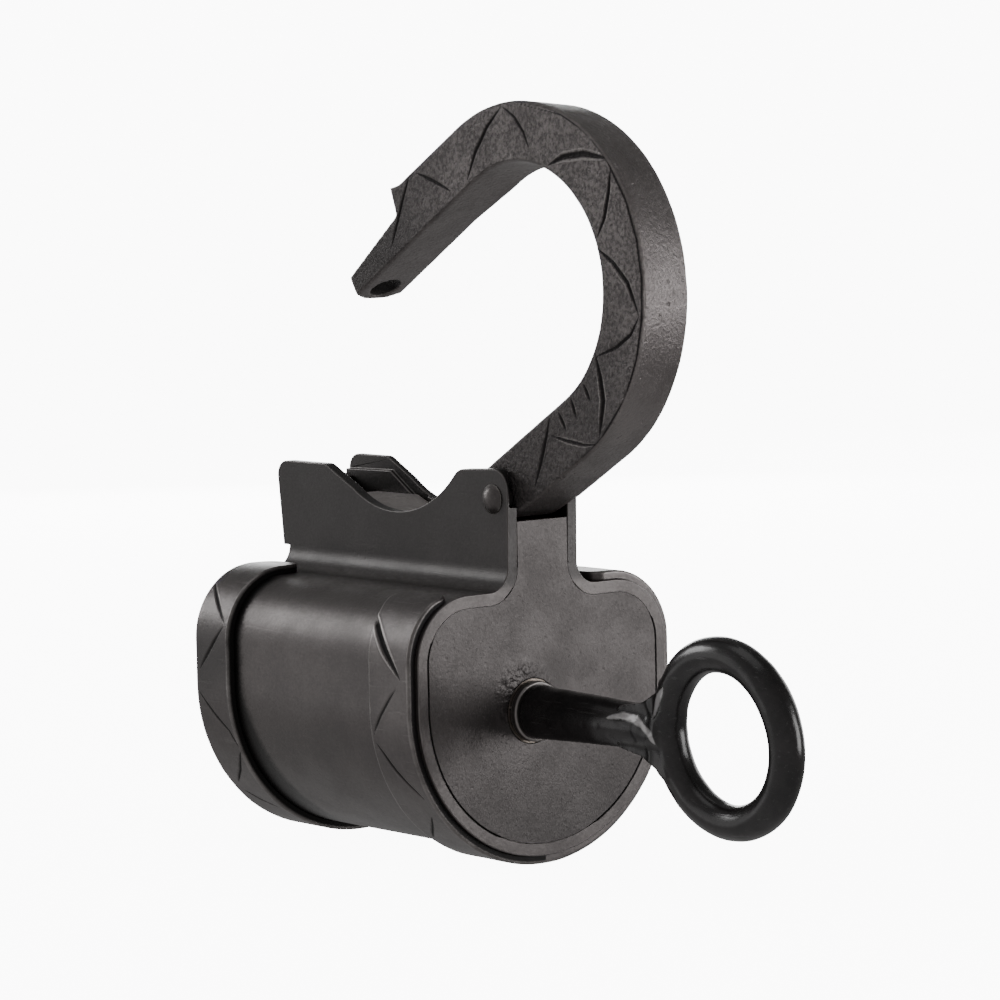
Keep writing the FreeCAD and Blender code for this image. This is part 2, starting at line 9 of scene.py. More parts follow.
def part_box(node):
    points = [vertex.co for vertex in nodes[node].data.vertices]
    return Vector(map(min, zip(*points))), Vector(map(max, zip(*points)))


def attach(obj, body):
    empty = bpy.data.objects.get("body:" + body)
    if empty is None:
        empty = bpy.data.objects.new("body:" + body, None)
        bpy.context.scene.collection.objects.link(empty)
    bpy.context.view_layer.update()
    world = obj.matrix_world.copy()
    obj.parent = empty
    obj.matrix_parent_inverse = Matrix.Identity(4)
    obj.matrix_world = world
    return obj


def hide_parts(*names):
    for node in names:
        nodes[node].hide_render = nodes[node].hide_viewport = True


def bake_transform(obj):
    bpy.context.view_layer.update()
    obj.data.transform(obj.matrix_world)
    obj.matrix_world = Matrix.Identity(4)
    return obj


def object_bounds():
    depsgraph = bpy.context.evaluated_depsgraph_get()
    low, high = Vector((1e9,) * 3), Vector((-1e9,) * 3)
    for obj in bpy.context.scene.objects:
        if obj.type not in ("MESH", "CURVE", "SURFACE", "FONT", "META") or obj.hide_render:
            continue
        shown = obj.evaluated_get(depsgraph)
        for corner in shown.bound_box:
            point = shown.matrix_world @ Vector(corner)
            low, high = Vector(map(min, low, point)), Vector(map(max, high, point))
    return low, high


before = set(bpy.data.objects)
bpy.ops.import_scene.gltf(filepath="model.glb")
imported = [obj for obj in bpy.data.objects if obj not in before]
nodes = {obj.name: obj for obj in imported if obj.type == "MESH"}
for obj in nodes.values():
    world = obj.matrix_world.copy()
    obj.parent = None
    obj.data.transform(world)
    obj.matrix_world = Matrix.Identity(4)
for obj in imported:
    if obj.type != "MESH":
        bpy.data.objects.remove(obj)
cad_low, cad_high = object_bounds()
scene = bpy.context.scene

# ---- camera, floor and light ------------------------------------------------
# A long lens at the padlock's own height and a white table whose two ends curve up into walls.
# A bright lamp on the right, a small one high on the left, and wide ones overhead, left and behind.
yaw, pitch, roll = math.radians(50.55), math.radians(5.0), math.radians(-1.14)
cam_back = Vector((math.sin(yaw) * math.cos(pitch), -math.cos(yaw) * math.cos(pitch), math.sin(pitch)))
level = Vector((math.cos(yaw), math.sin(yaw), 0.0))
over = cam_back.cross(level)
cam_right = level * math.cos(roll) + over * math.sin(roll)
cam_up = over * math.cos(roll) - level * math.sin(roll)
camera = bpy.data.objects.new("camera", bpy.data.cameras.new("camera"))
scene.collection.objects.link(camera)
camera.data.lens, camera.data.sensor_width = 147.48, 36.0
cam_place = (0.66813, -0.50273, 0.10636)
cam_turn = Matrix((cam_right, cam_up, cam_back)).transposed().to_4x4()
camera.matrix_world = Matrix.Translation(cam_place) @ cam_turn
scene.camera = camera

floor_z = cad_low.z - 0.0002
away = Vector((-cam_back.x, -cam_back.y, 0.0)).normalized()
sideways = Vector((-away.y, away.x, 0.0))
near_wall, far_wall, wall_height, half_width = -3.5, 2.7, 2.6, 2.6
curve_r, curve_steps = 0.5, 12
sweep = [(near_wall, wall_height)]
for centre, first in ((near_wall + curve_r, -90.0), (far_wall - curve_r, 0.0)):
    for step in range(curve_steps + 1):
        turn = math.radians(first + 90.0 * step / curve_steps)
        sweep.append((centre + curve_r * math.sin(turn), curve_r - curve_r * math.cos(turn)))
sweep.append((far_wall, wall_height))
table_points, table_faces = [], []
for run, rise in sweep:
    for aside in (-half_width, half_width):
        table_points.append(away * run + sideways * aside + Vector((0, 0, floor_z + rise)))
for row in range(len(sweep) - 1):
    table_faces.append((2 * row, 2 * row + 1, 2 * row + 3, 2 * row + 2))
table_mesh = bpy.data.meshes.new("table")
table_mesh.from_pydata([tuple(p) for p in table_points], [], table_faces)
for face in table_mesh.polygons:
    face.use_smooth = True
table = bpy.data.objects.new("table", table_mesh)
scene.collection.objects.link(table)
paper = bpy.data.materials.new("white_paper")
paper.use_nodes = True
paper_look = paper.node_tree.nodes["Principled BSDF"]
paper_look.inputs["Base Color"].default_value = (0.90, 0.90, 0.90, 1)
paper_look.inputs["Roughness"].default_value = 0.9
paper_look.inputs["Specular IOR Level"].default_value = 0.1
paper_look.inputs["Emission Color"].default_value = (1, 1, 1, 1)
paper_look.inputs["Emission Strength"].default_value = 10.0
table_mesh.materials.append(paper)
table.visible_glossy = False
table.visible_diffuse = False

room = bpy.data.worlds.new("room")
scene.world = room
room.use_nodes = True
room_nodes, room_links = room.node_tree.nodes, room.node_tree.links
sky_way = room_nodes.new("ShaderNodeTexCoord")
sky_side = room_nodes.new("ShaderNodeVectorMath")
sky_side.operation = "DOT_PRODUCT"
sky_side.inputs[1].default_value = (0.0, -0.76, -0.65)
sky_map = room_nodes.new("ShaderNodeMapRange")
sky_map.inputs["From Min"].default_value = -1.0
sky_ramp = room_nodes.new("ShaderNodeValToRGB")
sky_ramp.color_ramp.elements[0].position = 0.05
sky_ramp.color_ramp.elements[0].color = (0.20, 0.20, 0.20, 1)
sky_ramp.color_ramp.elements[1].position = 0.95
sky_ramp.color_ramp.elements[1].color = (1.0, 0.985, 0.985, 1)
room_links.new(sky_way.outputs["Generated"], sky_side.inputs[0])
room_links.new(sky_side.outputs["Value"], sky_map.inputs["Value"])
room_links.new(sky_map.outputs[0], sky_ramp.inputs[0])
room_links.new(sky_ramp.outputs[0], room_nodes["Background"].inputs["Color"])
room_nodes["Background"].inputs["Strength"].default_value = 0.75


def soft_lamp(name, place, aim, width, height, power):
    """A square lamp with a cloth front."""
    lamp = bpy.data.lights.new(name, "AREA")
    lamp.shape, lamp.size, lamp.size_y, lamp.energy = "RECTANGLE", width, height, power
    stand = bpy.data.objects.new(name, lamp)
    scene.collection.objects.link(stand)
    stand.location = place
    stand.rotation_euler = (Vector(aim) - Vector(place)).to_track_quat("-Z", "Y").to_euler()


soft_lamp("lamp_overhead", (0.02, -0.10, 0.75), (0.03, 0, 0.03), 0.55, 0.55, 1.0)
soft_lamp("lamp_right", (0.78, 0.60, 0.10), (0.05, 0, 0.05), 0.40, 0.50, 5.8)
soft_lamp("lamp_high_left", (-0.66, -0.35, 0.33), (0.03, 0, 0.02), 0.30, 0.30, 2.5)
soft_lamp("lamp_left", (-0.50, -0.60, 0.06), (0.03, 0, 0.05), 0.5, 0.5, 0.7)
soft_lamp("lamp_behind_left", (-0.66, 0.52, 0.16), (0.03, 0, 0.05), 0.4, 0.25, 2.0)
soft_lamp("lamp_behind", (-0.25, 1.0, 0.14), (0.03, 0, 0.05), 0.8, 0.6, 3.5)

# ---- barrel and cheeks --------------------------------------------------------
# One sheet of iron 2.4 mm thick, folded hot round a former into the barrel and the
# two upstanding cheeks. Filed, blackened with oil, its edges rubbed bright by use.


def new_group(name, takes, gives):
    """An empty shader group with its named inputs and outputs."""
    group = bpy.data.node_groups.new(name, "ShaderNodeTree")
    for label, kind, value in takes:
        socket = group.interface.new_socket(label, in_out="INPUT", socket_type=kind)
        if value is not None:
            socket.default_value = value
    for label, kind in gives:
        group.interface.new_socket(label, in_out="OUTPUT", socket_type=kind)
    return group, group.nodes.new("NodeGroupInput"), group.nodes.new("NodeGroupOutput")


def maths(tree, kind, a, b, clamp=False):
    """One sum in a node tree. A plain number is set on the socket, a socket is linked."""
    node = tree.nodes.new("ShaderNodeMath")
    node.operation, node.use_clamp = kind, clamp
    for slot, value in enumerate((a, b)):
        if isinstance(value, (int, float)):
            node.inputs[slot].default_value = value
        else:
            tree.links.new(value, node.inputs[slot])
    return node.outputs[0]


def ramped(tree, value, low, high, to_low=0.0, to_high=1.0):
    """Value between low and high, eased into a new range."""
    node = tree.nodes.new("ShaderNodeMapRange")
    node.interpolation_type = "SMOOTHSTEP"
    for label, number in (("From Min", low), ("From Max", high), ("To Min", to_low), ("To Max", to_high)):
        if isinstance(number, (int, float)):
            node.inputs[label].default_value = number
        else:
            tree.links.new(number, node.inputs[label])
    tree.links.new(value, node.inputs["Value"])
    return node.outputs[0]


def speckle(tree, where, size, detail, rough):
    """Noise of a given feature size in metres."""
    node = tree.nodes.new("ShaderNodeTexNoise")
    node.inputs["Detail"].default_value = detail
    node.inputs["Roughness"].default_value = rough
    tree.links.new(where, node.inputs["Vector"])
    scale = maths(tree, "DIVIDE", 1.0, size)
    tree.links.new(scale, node.inputs["Scale"])
    return node.outputs[0]


# Skin of forged iron: slow patches of tone, fine grain from the scale, and small pits.
skin, skin_in, skin_out = new_group(
    "forged skin",
    [("Place", "NodeSocketVector", None), ("Patch Size", "NodeSocketFloat", 0.012),
     ("Grain Size", "NodeSocketFloat", 0.0008), ("Grain", "NodeSocketFloat", 0.5),
     ("Pits", "NodeSocketFloat", 0.3)],
    [("Tone", "NodeSocketFloat"), ("Height", "NodeSocketFloat"), ("Pitted", "NodeSocketFloat")])
patches = speckle(skin, skin_in.outputs["Place"], skin_in.outputs["Patch Size"], 4.0, 0.6)
grains = speckle(skin, skin_in.outputs["Place"], skin_in.outputs["Grain Size"], 5.0, 0.65)
cells = skin.nodes.new("ShaderNodeTexVoronoi")
skin.links.new(skin_in.outputs["Place"], cells.inputs["Vector"])
skin.links.new(maths(skin, "DIVIDE", 0.4, skin_in.outputs["Grain Size"]), cells.inputs["Scale"])
pit_shape = ramped(skin, cells.outputs["Distance"], 0.28, 0.05)
holes = maths(skin, "MULTIPLY", pit_shape, ramped(skin, patches, 0.45, 0.62))
pitted = maths(skin, "MULTIPLY", holes, skin_in.outputs["Pits"])
height = maths(skin, "MULTIPLY", grains, skin_in.outputs["Grain"])
height = maths(skin, "ADD", height, maths(skin, "MULTIPLY", patches, 0.1))
skin.links.new(maths(skin, "SUBTRACT", height, pitted), skin_out.inputs["Height"])
skin.links.new(pitted, skin_out.inputs["Pitted"])
tone = maths(skin, "ADD", maths(skin, "MULTIPLY", patches, 0.65), maths(skin, "MULTIPLY", grains, 0.35))
skin.links.new(ramped(skin, tone, 0.34, 0.66), skin_out.inputs["Tone"])

# Edges rubbed through to bare metal, and painted highlights on the key's weld, broken up so that they are
# never an even line.
rubbed, rubbed_in, rubbed_out = new_group(
    "rubbed edge",
    [("Edge", "NodeSocketFloat", 0.0), ("Place", "NodeSocketVector", None),
     ("Breakup", "NodeSocketFloat", 0.5), ("Strength", "NodeSocketFloat", 1.0)],
    [("Mask", "NodeSocketFloat")])
broken = speckle(rubbed, rubbed_in.outputs["Place"], 0.004, 4.0, 0.7)
broken = maths(rubbed, "MULTIPLY", maths(rubbed, "SUBTRACT", broken, 0.5), rubbed_in.outputs["Breakup"])
edge = ramped(rubbed, maths(rubbed, "ADD", rubbed_in.outputs["Edge"], broken), 0.25, 0.8)
edge = maths(rubbed, "MULTIPLY", edge, ramped(rubbed, rubbed_in.outputs["Edge"], 0.0, 0.12))
rubbed.links.new(maths(rubbed, "MULTIPLY", edge, rubbed_in.outputs["Strength"]), rubbed_out.inputs["Mask"])

# Old oil and dirt that stays in corners and cuts, and painted shade in the tongue's bolt hole.
grime, grime_in, grime_out = new_group(
    "corner grime",
    [("Hollow", "NodeSocketFloat", 0.0), ("Place", "NodeSocketVector", None),
     ("Spread", "NodeSocketFloat", 0.4)],
    [("Mask", "NodeSocketFloat")])
clots = speckle(grime, grime_in.outputs["Place"], 0.003, 5.0, 0.7)
clots = maths(grime, "MULTIPLY", maths(grime, "SUBTRACT", clots, 0.5), grime_in.outputs["Spread"])
dirt = ramped(grime, maths(grime, "ADD", grime_in.outputs["Hollow"], clots), 0.15, 0.75)
dirt = maths(grime, "MULTIPLY", dirt, ramped(grime, grime_in.outputs["Hollow"], 0.0, 0.15))
grime.links.new(dirt, grime_out.inputs["Mask"])


def iron(name, deep, light, bare, metallic, rough, grain_size, grain, pits, bump, patch=0.012, wear=0.4,
         scratch=0.12, stain_and_shadow=None, painted_height_shade=None, dinted=None, polish=0.0):
    """Oiled forged iron. deep and light are its two tones, bare is the metal where it is rubbed.
    A stain is a dark stretch along X that fades out, from its start to its end: grime and painted shadow.
    The soot argument paints shade on one end, from one height to another, by a share. Dinted is a spot
    roughened by blows.
    Polish is how much smoother the metal is off its flanks."""
    made = bpy.data.materials.new(name)
    made.use_nodes = True
    tree = made.node_tree
    look = tree.nodes["Principled BSDF"]
    place = tree.nodes.new("ShaderNodeTexCoord").outputs["Object"]

    def own(label):
        node = tree.nodes.new("ShaderNodeAttribute")
        node.attribute_name = label
        return node.outputs["Fac"]

    def grouped(group, **values):
        node = tree.nodes.new("ShaderNodeGroup")
        node.node_tree = group
        for label, value in values.items():
            socket = node.inputs[label.replace("_", " ")]
            if isinstance(value, (int, float)):
                socket.default_value = value
            else:
                tree.links.new(value, socket)
        return node

    def tinted(mask, under, colour):
        mix = tree.nodes.new("ShaderNodeMix")
        mix.data_type = "RGBA"
        tree.links.new(mask, mix.inputs["Factor"])
        for socket, value in ((mix.inputs["A"], under), (mix.inputs["B"], colour)):
            if isinstance(value, tuple):
                socket.default_value = (*value, 1.0)
            else:
                tree.links.new(value, socket)
        return mix.outputs["Result"]

    def shade(share):
        return tuple(c * share for c in deep)

    coarse = maths(tree, "ADD", maths(tree, "MULTIPLY", own("flank"), grain * 1.2), grain * 0.4)
    surface = grouped(skin, Place=place, Patch_Size=patch, Grain_Size=grain_size, Grain=coarse, Pits=pits)
    worn = grouped(rubbed, Edge=own("worn"), Place=place, Breakup=0.7, Strength=wear).outputs["Mask"]
    dirt_and_shade = grouped(grime, Hollow=own("hollow"), Place=place, Spread=0.35).outputs["Mask"]

    # Long faint file marks.
    lines = tree.nodes.new("ShaderNodeMapping")
    lines.inputs["Scale"].default_value = (60, 900, 700)
    lines.inputs["Rotation"].default_value = (0.2, 0.35, 0.15)
    tree.links.new(place, lines.inputs["Vector"])
    filed = tree.nodes.new("ShaderNodeTexNoise")
    filed.inputs["Scale"].default_value = 2.2
    filed.inputs["Detail"].default_value = 3.0
    tree.links.new(lines.outputs[0], filed.inputs["Vector"])
    file_marks = ramped(tree, filed.outputs[0], 0.60, 0.74)

    colour = tinted(surface.outputs["Tone"], deep, light)
    colour = tinted(maths(tree, "MULTIPLY", surface.outputs["Pitted"], 0.8), colour, shade(0.35))
    colour = tinted(maths(tree, "MULTIPLY", file_marks, scratch * 0.5), colour, bare)
    # Painted shade in the low points of the grain on the flanks.
    grain_shade = maths(tree, "MULTIPLY", ramped(tree, surface.outputs["Height"], 0.52, 0.36), own("flank"))
    colour = tinted(maths(tree, "MULTIPLY", grain_shade, 0.75), colour, shade(0.35))
    split = tree.nodes.new("ShaderNodeSeparateXYZ")
    tree.links.new(place, split.inputs[0])
    # Painted shade where a piece is marked for it.
    colour = tinted(maths(tree, "MULTIPLY", own("smoke"), 0.8), colour, shade(0.25))
    # Painted shade: one end of the piece is darker, from one height to another.
    if painted_height_shade:
        unshaded_z, shaded_z, share = painted_height_shade
        height_shade = ramped(tree, split.outputs["Z"], unshaded_z, shaded_z, 0.0, share)
        colour = tinted(height_shade, colour, shade(0.25))
    # Grime and a painted contact shadow in a stretch in front of a strap, wider lower down and clear of the
    # cheeks.
    if stain_and_shadow:
        start, fade_from, fade_to = stain_and_shadow
        cheek_foot, cheek_clear = 0.0202, 0.0212
        ragged = maths(tree, "MULTIPLY", surface.outputs["Tone"], 0.0010)
        sagged = maths(tree, "MULTIPLY", maths(tree, "MINIMUM", split.outputs["Z"], 0.0), 0.3)
        far = maths(tree, "ADD", maths(tree, "ADD", split.outputs["X"], ragged), sagged)
        stain_shadow_mask = ramped(tree, far, fade_from, fade_to)
        stain_shadow_mask = maths(tree, "MULTIPLY", stain_shadow_mask, maths(tree, "GREATER_THAN", split.outputs["X"], start))
        below = ramped(tree, split.outputs["Z"], cheek_clear, cheek_foot)
        stain_shadow_mask = maths(tree, "MULTIPLY", stain_shadow_mask, below)
        colour = tinted(maths(tree, "MULTIPLY", stain_shadow_mask, 0.93), colour, shade(0.12))
    colour = tinted(dirt_and_shade, colour, shade(0.16))
    colour = tinted(worn, colour, bare)
    tree.links.new(colour, look.inputs["Base Color"])

    gloss = ramped(tree, surface.outputs["Tone"], 0.0, 1.0, rough + 0.03, rough - 0.03)
    gloss = maths(tree, "ADD", gloss, maths(tree, "MULTIPLY", dirt_and_shade, 0.25))
    if polish:
        smoother = maths(tree, "MULTIPLY", maths(tree, "SUBTRACT", 1.0, own("flank")), polish)
        gloss = maths(tree, "SUBTRACT", gloss, smoother)
    gloss = maths(tree, "SUBTRACT", gloss, maths(tree, "MULTIPLY", worn, 0.08), clamp=True)
    tree.links.new(gloss, look.inputs["Roughness"])
    look.inputs["Metallic"].default_value = metallic

    relief = tree.nodes.new("ShaderNodeBump")
    relief.inputs["Strength"].default_value = 1.0
    relief.inputs["Distance"].default_value = bump
    furrows = maths(tree, "MULTIPLY", file_marks, scratch * 0.3)
    raised = maths(tree, "SUBTRACT", surface.outputs["Height"], furrows)
    if dinted:
        away_from = tree.nodes.new("ShaderNodeVectorMath")
        away_from.operation = "DISTANCE"
        away_from.inputs[1].default_value = dinted
        tree.links.new(place, away_from.inputs[0])
        outer_r, inner_r, blow_size = 0.0085, 0.0045, 0.0013
        struck = ramped(tree, away_from.outputs["Value"], outer_r, inner_r)
        blows = speckle(tree, place, blow_size, 2.0, 0.5)
        raised = maths(tree, "ADD", raised, maths(tree, "MULTIPLY", blows, struck))
    tree.links.new(raised, relief.inputs["Height"])
    tree.links.new(relief.outputs["Normal"], look.inputs["Normal"])
    return made


def settle(piece, body, *stands_for, slot=None, material=None):
    """Gives a finished piece its material and its body, and hides the CAD nodes that it stands for."""
    if material:
        piece.data.materials.clear()
        piece.data.materials.append(material)
    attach(piece, body)
    if stands_for:
        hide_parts(*stands_for)
    return piece


def joined_copy(name, *cad_names):
    """A welded copy of CAD meshes, ready to be worked on."""
    work = bmesh.new()
    for cad_name in cad_names:
        work.from_mesh(nodes[cad_name].data)
    bmesh.ops.remove_doubles(work, verts=work.verts, dist=2e-6)
    mesh = bpy.data.meshes.new(name)
    work.to_mesh(mesh)
    work.free()
    piece = bpy.data.objects.new(name, mesh)
    scene.collection.objects.link(piece)
    return piece


def made_plain(piece):
    """Turns a piece with modifiers into the mesh that they give."""
    seen = piece.evaluated_get(bpy.context.evaluated_depsgraph_get())
    mesh = bpy.data.meshes.new_from_object(seen)
    piece.modifiers.clear()
    piece.data = mesh
    return mesh


def eased(name, cad_name, radius, corner=32.0, in_seam=None):
    """A copy of a CAD piece with its hard edges taken off. The new narrow faces are marked as worn,
    or as in_seam says for their place: worn, hollow, or None for an edge that stays sharp."""
    piece = joined_copy(name, cad_name)
    work = bmesh.new()
    work.from_mesh(piece.data)
    bmesh.ops.dissolve_limit(work, angle_limit=math.radians(0.5), verts=work.verts, edges=work.edges)
    filed = work.edges.layers.float.new("bevel_weight_edge")
    for edge in work.edges:
        if len(edge.link_faces) == 2 and edge.calc_face_angle() > math.radians(corner):
            middle = (edge.verts[0].co + edge.verts[1].co) / 2
            edge[filed] = 1.0 if not in_seam or in_seam(middle) else 0.0
    work.to_mesh(piece.data)
    work.free()
    for _ in range(2):
        piece.data.materials.append(None)
    file_off = piece.modifiers.new("file_off", "BEVEL")
    file_off.width, file_off.segments = radius, 3
    file_off.limit_method = "WEIGHT"
    file_off.use_clamp_overlap = False
    file_off.loop_slide = False
    file_off.material = 1
    mesh = made_plain(piece)
    marks = {"worn": np.zeros(len(mesh.loops), np.float32), "hollow": np.zeros(len(mesh.loops), np.float32)}
    for face in mesh.polygons:
        if face.material_index == 1:
            kind = in_seam(face.center) if in_seam else "worn"
            if kind:
                marks[kind][face.loop_start:face.loop_start + face.loop_total] = 1.0
        face.material_index = 0
        face.use_smooth = True
    for label, values in marks.items():
        mesh.attributes.new(label, "FLOAT", "CORNER").data.foreach_set("value", values)
    mesh.set_sharp_from_angle(angle=math.radians(corner))
    evened = piece.modifiers.new("evened", "WEIGHTED_NORMAL")
    evened.keep_sharp, evened.weight = True, 80
    made_plain(piece)
    return piece


def at_plate_seam(spot):
    """The mark for an edge of the sheet: hollow along an end plate, none where braze fills the seam."""
    across, up = abs(spot.y), spot.z
    rear_seam, front_seam, neck_top = 0.002, 0.0675, 0.0285
    neck_foot, neck_side, neck_inside = 0.021, 0.0135, 0.0075
    fold_y, fold_z, fold_r = 0.0132, 0.0255, 0.0057
    bore, roof = 0.0298, 0.0198
    shoulder_y, shoulder_z, shoulder_r = 0.0185, 0.0085, 0.0113
    if up > neck_top or rear_seam < spot.x < front_seam:
        return "worn"
    if up > neck_foot and across < neck_side:
        inner = math.hypot(across - fold_y, up - fold_z) > fold_r or (up > fold_z and across < neck_inside)
    elif up < 0:
        inner = math.hypot(across, up) < bore
    elif across > shoulder_y and up > shoulder_z:
        inner = math.hypot(across - shoulder_y, up - shoulder_z) < shoulder_r
    else:
        inner = across < bore and up < roof
    return at_braze(spot) if inner else "worn"


def at_braze(spot):
    """The mark for an edge of an end plate. The braze has filled its top and its lowest part."""
    neck, filled_below, filled_above = 0.030, -0.0262, 0.0135
    if spot.z > neck:
        return "hollow" if spot.y < 0 else None
    return "hollow" if filled_below < spot.z < filled_above else None


# Painted shade darkens the cheeks and the fold at their foot.
dark_iron = iron("dark_iron", (0.052, 0.046, 0.045), (0.070, 0.063, 0.061), (0.22, 0.205, 0.20), 0.65, 0.40,
                 0.0007, 0.15, 0.04, 0.0005, patch=0.014, wear=0.22, stain_and_shadow=(0.0108, 0.0150, 0.0122),
                 scratch=0.05, painted_height_shade=(0.0208, 0.0230, 0.82))
# The shell carries grime and a painted shadow in front of the rear strap.
shell = eased("shell", "barrel_shell", 0.00022, in_seam=at_plate_seam)
settle(shell, "case", "barrel_shell", slot="dark_iron", material=dark_iron)

# ---- end plates ---------------------------------------------------------------
# Cut from plate, hammered into the ends of the barrel and brazed. The front one is
# pierced for the key's bush, and its neck runs up between the cheeks to the heel.
# Painted shade darkens the end plates towards their bottom.
plate_iron = iron("plate_iron", (0.042, 0.037, 0.036), (0.052, 0.046, 0.045), (0.20, 0.185, 0.18), 0.65, 0.43,
                  0.0008, 0.22, 0.04, 0.0005, patch=0.011, wear=0.2, painted_height_shade=(-0.008, -0.031, 0.45),
                  dinted=(0.0697, -0.0055, 0.0005))
for cad_name in ("front_end_plate", "rear_end_plate"):
    plate = eased(cad_name + "_dressed", cad_name, 0.00016, in_seam=at_braze)
    settle(plate, "case", cad_name, slot="dark_iron", material=plate_iron)

# ---- straps -------------------------------------------------------------------
# Two straps of 1.8 mm iron wrapped round the barrel's ends and brazed on. Each carries
# a zigzag cut with a chisel; the deepest cut threw up bright burrs on both sides.


def chisel_cuts(points, cuts):
    """How far each point sinks, and how deep in a cut it lies, for cuts of (path, width, depth, burr)."""
    sink, inside = np.zeros(len(points)), np.zeros(len(points))
    for path, width, depth, burr in cuts:
        path = np.array(path, float) / 1000.0
        lengths = np.linalg.norm(np.diff(path, axis=0), axis=1)
        total, gone = lengths.sum(), 0.0
        best, along = np.full(len(points), 1e9), np.zeros(len(points))
        for a, b, run in zip(path[:-1], path[1:], lengths):
            t = np.clip((points - a) @ (b - a) / run ** 2, 0, 1)
            off = np.linalg.norm(points - a - t[:, None] * (b - a), axis=1)
            nearer = off < best
            best[nearer], along[nearer] = off[nearer], (gone + t[nearer] * run) / total
            gone += run
        taper = np.clip(np.sin(np.pi * np.clip(along, 0.02, 0.98)), 0, 1) ** 0.55
        half = width / 2000.0 * taper
        v = np.clip(1 - best / half, 0, 1)
        lip = np.exp(-((best - half * 1.25) / (half * 0.35)) ** 2) * taper
        sink += -depth / 1000.0 * taper * v + burr / 1000.0 * lip
        inside = np.maximum(inside, np.clip(v * 1.6, 0, 1))
    return sink, inside


def hammering(points, *waves):
    """Uneven blows of a hammer: noise at each point, summed over waves of (scale, share)."""
    return np.array([sum(noise.noise(Vector(p) * scale) * share for scale, share in waves) for p in points])


def faced_out(mesh):
    """Turns every face of a closed mesh outward."""
    work = bmesh.new()
    work.from_mesh(mesh)
    bmesh.ops.recalc_face_normals(work, faces=work.faces)
    work.to_mesh(mesh)
    work.free()


def marked(mesh, **values):
    """Writes each named array on the mesh's points, for its material to read."""
    for label, numbers in values.items():
        layer = mesh.attributes.get(label) or mesh.attributes.new(label, "FLOAT", "POINT")
        layer.data.foreach_set("value", numbers.astype(np.float32))


